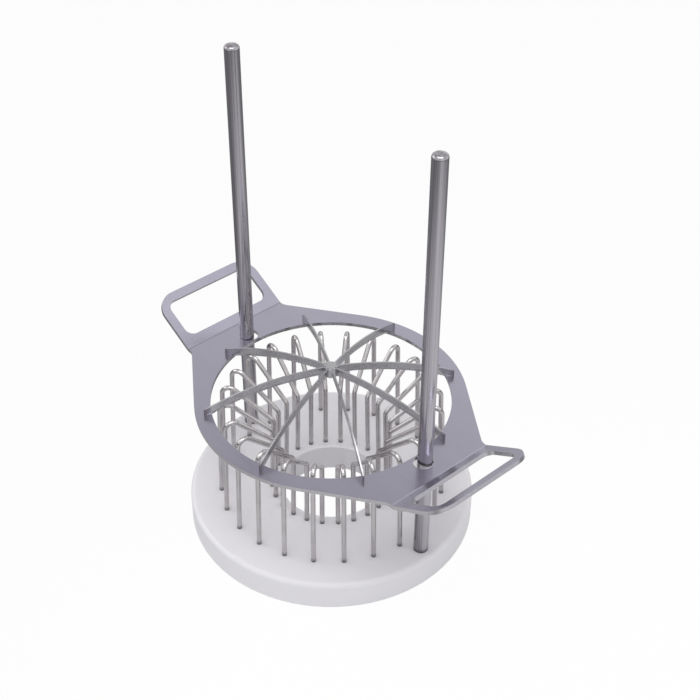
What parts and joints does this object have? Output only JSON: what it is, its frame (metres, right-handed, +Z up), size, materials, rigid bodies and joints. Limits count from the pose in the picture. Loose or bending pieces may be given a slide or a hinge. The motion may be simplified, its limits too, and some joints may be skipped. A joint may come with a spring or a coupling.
{
  "type": "push-down fruit wedger",
  "caption": "Push-down fruit wedger: a round blade frame with two bent handles slides on guide rods over a wire cradle that stands on a round white board.",
  "frame": {"origin": "centre of the board's underside, midway between the guide rods", "axes": "+Z up along the guide rods, +X from the left rod and handle to the right ones, +Y across"},
  "size_m": [0.4344, 0.3, 0.49],
  "materials": {
    "board": "satin white board",
    "rod_steel": "drawn stainless bar, fine lengthwise grain",
    "fastener_steel": "plain stainless",
    "wire_steel": "polished stainless wire",
    "sheet_steel": "satin stainless sheet",
    "blade_steel": "ground stainless, bevelled scalloped edge"
  },
  "bodies": {
    "base": {"base_disc": "board", "guide_rod_left": "rod_steel", "rod_screw_left": "fastener_steel", "rod_washer_left": "fastener_steel", "guide_rod_right": "rod_steel", "rod_screw_right": "fastener_steel", "rod_washer_right": "fastener_steel", "wire_support_01": "wire_steel", "wire_support_02": "wire_steel", "wire_support_03": "wire_steel", "wire_support_04": "wire_steel", "wire_support_05": "wire_steel", "wire_support_06": "wire_steel", "wire_support_07": "wire_steel", "wire_support_08": "wire_steel", "wire_support_09": "wire_steel", "wire_support_10": "wire_steel", "wire_support_11": "wire_steel", "wire_support_12": "wire_steel", "wire_support_13": "wire_steel", "wire_support_14": "wire_steel", "wire_support_15": "wire_steel", "wire_support_16": "wire_steel", "wire_support_17": "wire_steel", "wire_support_18": "wire_steel", "wire_support_19": "wire_steel", "wire_support_20": "wire_steel", "wire_support_21": "wire_steel", "wire_support_22": "wire_steel", "wire_support_23": "wire_steel", "wire_support_24": "wire_steel"},
    "blade_frame": {"blade_frame": "sheet_steel", "handle_right": "sheet_steel", "handle_left": "sheet_steel", "blade_1": "blade_steel", "blade_2": "blade_steel", "blade_3": "blade_steel", "blade_4": "blade_steel", "blade_5": "blade_steel", "blade_6": "blade_steel", "blade_7": "blade_steel", "blade_8": "blade_steel", "blade_hub": "blade_steel"}
  },
  "joints": [
    {"name": "frame_slide", "type": "slide", "parent": "base", "child": "blade_frame", "axis": [0, 0, 1], "range_m": [-0.115, 0.345]}
  ]
}
